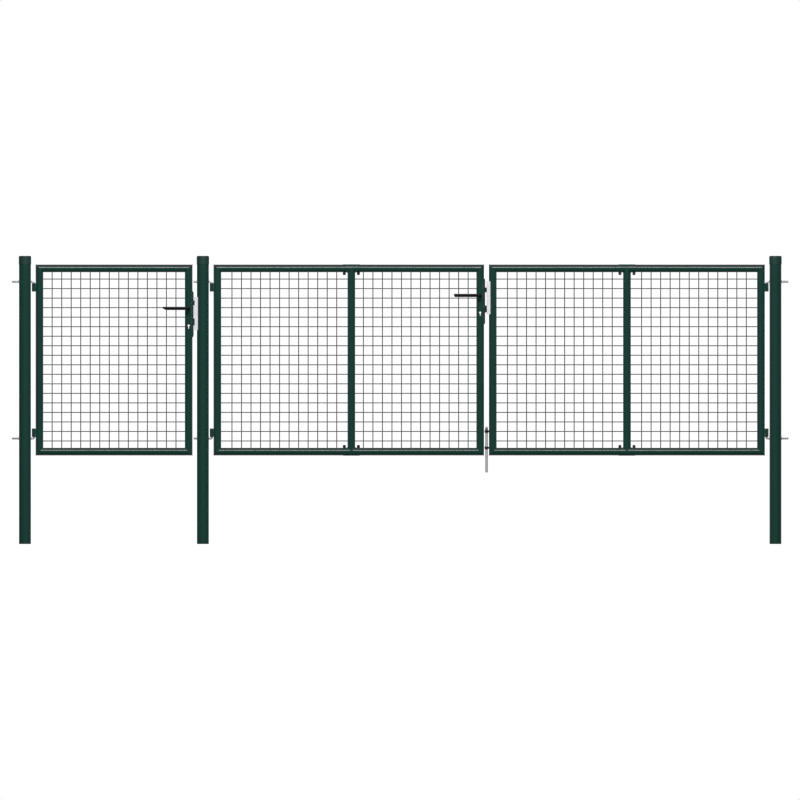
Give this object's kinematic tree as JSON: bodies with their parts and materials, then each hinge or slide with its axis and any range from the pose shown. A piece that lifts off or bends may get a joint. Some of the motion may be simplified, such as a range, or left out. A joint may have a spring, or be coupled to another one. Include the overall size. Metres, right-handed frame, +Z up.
{
  "type": "livestock panel gate",
  "caption": "Round-tube field gates with welded mesh on three posts: a single leaf and a wide pair, with hook hinges, lever locks, keeps and a drop bolt.",
  "frame": {"origin": "middle of the whole width, at the level of the post feet, in the plane of the posts", "axes": "+X runs along the fence towards the right of someone facing the front, -Y is the front, +Z is up"},
  "size_m": [4.0752, 0.11, 1.511],
  "materials": {
    "post_paint": "satin green powder coat",
    "frame_paint": "satin green powder coat",
    "cap_plastic": "moulded green plastic",
    "dark_paint": "dark painted steel",
    "wire_coat": "green coated wire",
    "zinc": "zinc plated",
    "keep_zinc": "bright zinc plated",
    "lock_steel": "plain steel",
    "lever_plastic": "black nylon"
  },
  "bodies": {
    "posts": {"left_post": "post_paint", "middle_post": "post_paint", "right_post": "post_paint", "post_caps": "cap_plastic", "hinge_bushes": "post_paint", "left_post_hooks": "zinc", "middle_post_hooks": "zinc", "right_post_hooks": "zinc", "post_keep": "keep_zinc", "post_keep_screws": "zinc"},
    "single_leaf": {"single_top_rail": "frame_paint", "single_bottom_rail": "frame_paint", "single_hinge_stile": "frame_paint", "single_lock_stile": "frame_paint", "single_mesh": "wire_coat", "single_hinge_sleeves": "frame_paint", "single_lock_box": "frame_paint", "single_forend": "dark_paint", "single_forend_screws": "dark_paint", "single_lock_case": "lock_steel"},
    "left_leaf": {"left_top_rails": "frame_paint", "left_bottom_rails": "frame_paint", "left_hinge_stile": "frame_paint", "left_lock_stile": "frame_paint", "left_centre_upright": "frame_paint", "left_tee_sleeves": "frame_paint", "left_clamp_nuts": "dark_paint", "left_clamp_bolts": "dark_paint", "left_mesh": "wire_coat", "left_hinge_sleeves": "frame_paint", "pair_lock_box": "frame_paint", "pair_forend": "dark_paint", "pair_forend_screws": "dark_paint", "pair_lock_case": "lock_steel"},
    "right_leaf": {"right_top_rails": "frame_paint", "right_bottom_rails": "frame_paint", "right_meeting_stile": "frame_paint", "right_hinge_stile": "frame_paint", "right_centre_upright": "frame_paint", "right_tee_sleeves": "frame_paint", "right_clamp_nuts": "dark_paint", "right_clamp_bolts": "dark_paint", "right_mesh": "wire_coat", "right_hinge_sleeves": "frame_paint", "leaf_keep": "keep_zinc", "leaf_keep_screws": "zinc", "right_drop_bolt_guides": "dark_paint"},
    "single_lever": {"single_lever_front": "lever_plastic", "single_lever_back": "lever_plastic", "single_spindle": "lock_steel", "single_follower": "lock_steel"},
    "single_latch": {"single_latch_bolt": "dark_paint"},
    "single_bolt": {"single_dead_bolt": "dark_paint"},
    "pair_lever": {"pair_lever_front": "lever_plastic", "pair_lever_back": "lever_plastic", "pair_spindle": "lock_steel", "pair_follower": "lock_steel"},
    "pair_latch": {"pair_latch_bolt": "dark_paint"},
    "pair_bolt": {"pair_dead_bolt": "dark_paint"},
    "drop_bolt": {"drop_bolt": "zinc"}
  },
  "joints": [
    {"name": "single_leaf_swing", "type": "hinge", "parent": "posts", "child": "single_leaf", "pos_m": [-1.923, 0, 0.965], "axis": [0, 0, 1], "range_deg": [-95, 95]},
    {"name": "left_leaf_swing", "type": "hinge", "parent": "posts", "child": "left_leaf", "pos_m": [-0.989, 0, 0.965], "axis": [0, 0, 1], "range_deg": [-95, 95]},
    {"name": "right_leaf_swing", "type": "hinge", "parent": "posts", "child": "right_leaf", "pos_m": [1.923, 0, 0.965], "axis": [0, 0, 1], "range_deg": [-95, 95]},
    {"name": "single_lever_turn", "type": "hinge", "parent": "single_leaf", "child": "single_lever", "pos_m": [-1.1105, 0, 1.236], "axis": [0, -1, 0], "range_deg": [0, 40], "stiffness_Nm_per_rad": 1, "springref_deg": -20.05},
    {"name": "pair_lever_turn", "type": "hinge", "parent": "left_leaf", "child": "pair_lever", "pos_m": [0.42, 0, 1.304], "axis": [0, -1, 0], "range_deg": [0, 40], "stiffness_Nm_per_rad": 1, "springref_deg": -20.05},
    {"name": "single_latch_slide", "type": "slide", "parent": "single_leaf", "child": "single_latch", "axis": [1, 0, 0], "range_m": [-0.009, 0]},
    {"name": "pair_latch_slide", "type": "slide", "parent": "left_leaf", "child": "pair_latch", "axis": [1, 0, 0], "range_m": [-0.009, 0]},
    {"name": "single_dead_bolt_throw", "type": "slide", "parent": "single_leaf", "child": "single_bolt", "axis": [1, 0, 0], "range_m": [-0.0049, 0.009]},
    {"name": "pair_dead_bolt_throw", "type": "slide", "parent": "left_leaf", "child": "pair_bolt", "axis": [1, 0, 0], "range_m": [-0.0087, 0.009]},
    {"name": "drop_bolt_lift", "type": "slide", "parent": "right_leaf", "child": "drop_bolt", "axis": [0, 0, 1], "range_m": [0, 0.1]}
  ],
  "couplings": [
    {"joint": "single_latch_slide", "follows": "single_lever_turn", "m_per_rad": -0.012605},
    {"joint": "pair_latch_slide", "follows": "pair_lever_turn", "m_per_rad": -0.012605}
  ]
}
